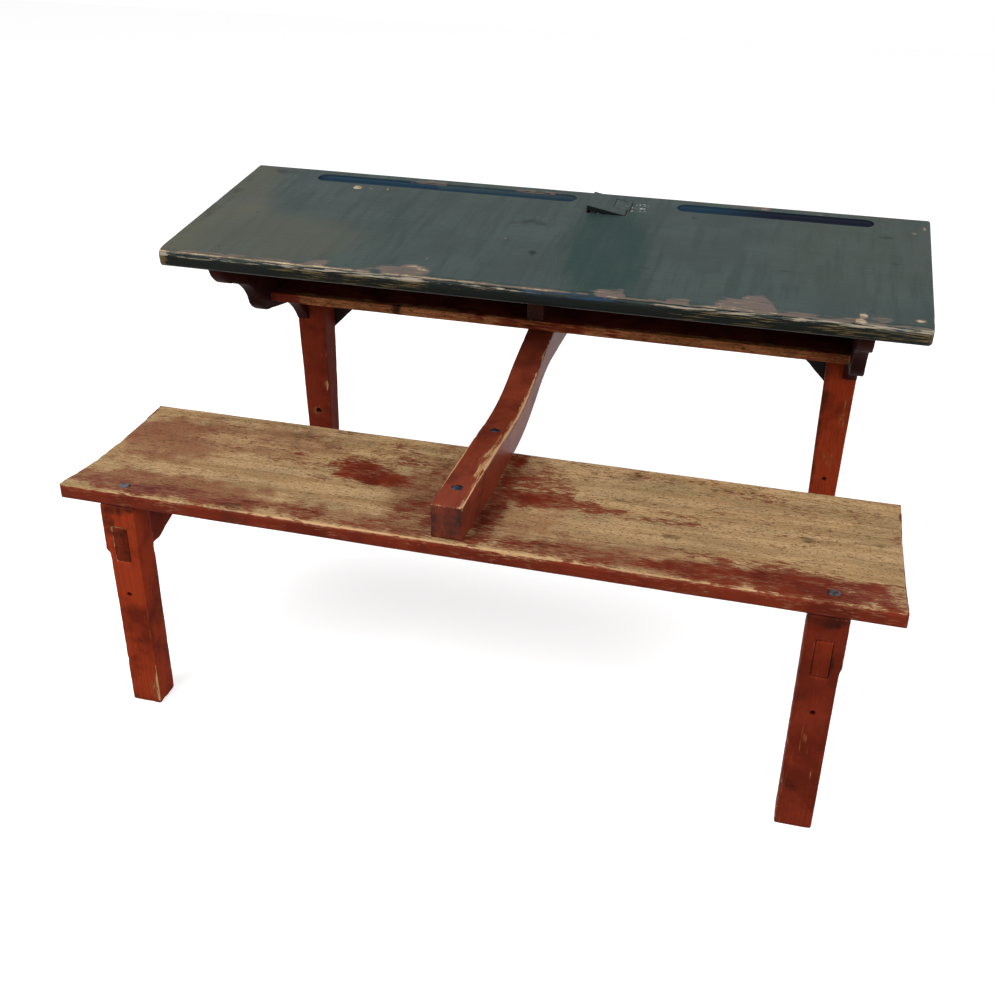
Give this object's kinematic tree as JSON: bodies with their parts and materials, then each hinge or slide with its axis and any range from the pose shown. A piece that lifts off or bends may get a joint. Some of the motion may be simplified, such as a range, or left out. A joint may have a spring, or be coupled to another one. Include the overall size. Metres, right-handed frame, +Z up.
{
  "type": "two-seat school desk with bench",
  "caption": "Old painted wooden school desk joined to its bench by an S-shaped beam, with a sloping top, pen grooves, a hinged inkwell flap and an open book shelf.",
  "frame": {"origin": "on the floor, under the middle of the whole object's box", "axes": "+X to a seated pupil's right along the bench, +Y from the bench to the back of the desk, +Z up"},
  "size_m": [1.2, 0.7572, 0.6783],
  "materials": {
    "green_paint": "worn dark green paint on wood",
    "red_paint": "worn red oxide paint on wood",
    "dark_red_paint": "dark maroon paint on wood",
    "worn_pine": "bare pine with rests of red paint",
    "dark_steel": "dull dark steel",
    "white_glaze": "white glaze"
  },
  "bodies": {
    "desk": {"desk_top": "green_paint", "left_desk_leg": "red_paint", "right_desk_leg": "red_paint", "centre_beam": "red_paint", "left_bench_leg": "red_paint", "right_bench_leg": "red_paint", "left_seat_bearer": "red_paint", "right_seat_bearer": "red_paint", "left_end_board": "dark_red_paint", "right_end_board": "dark_red_paint", "centre_divider": "dark_red_paint", "back_board": "dark_red_paint", "left_corner_gusset": "dark_red_paint", "right_corner_gusset": "dark_red_paint", "bench_seat": "worn_pine", "book_shelf": "worn_pine", "flap_hinge_fixed_leaf": "dark_steel", "flap_hinge_pin": "dark_steel", "fixed_leaf_screws": "dark_steel", "beam_bolts": "dark_steel", "beam_washers": "dark_steel", "beam_nuts": "dark_steel", "seat_screws": "dark_steel", "beam_shelf_screws": "dark_steel", "end_board_screws": "dark_steel", "shelf_nails": "dark_steel", "back_board_nails": "dark_steel", "gusset_screws": "dark_steel", "top_nails": "dark_steel", "ink_pot": "white_glaze"},
    "flap": {"inkwell_flap": "green_paint", "flap_hinge_moving_leaf": "dark_steel", "moving_leaf_screws": "dark_steel"}
  },
  "joints": [
    {"name": "flap_hinge", "type": "hinge", "parent": "desk", "child": "flap", "pos_m": [0.1067, 0.32223, 0.66423], "axis": [0, 0.9942, 0.108], "range_deg": [0, 165]}
  ]
}
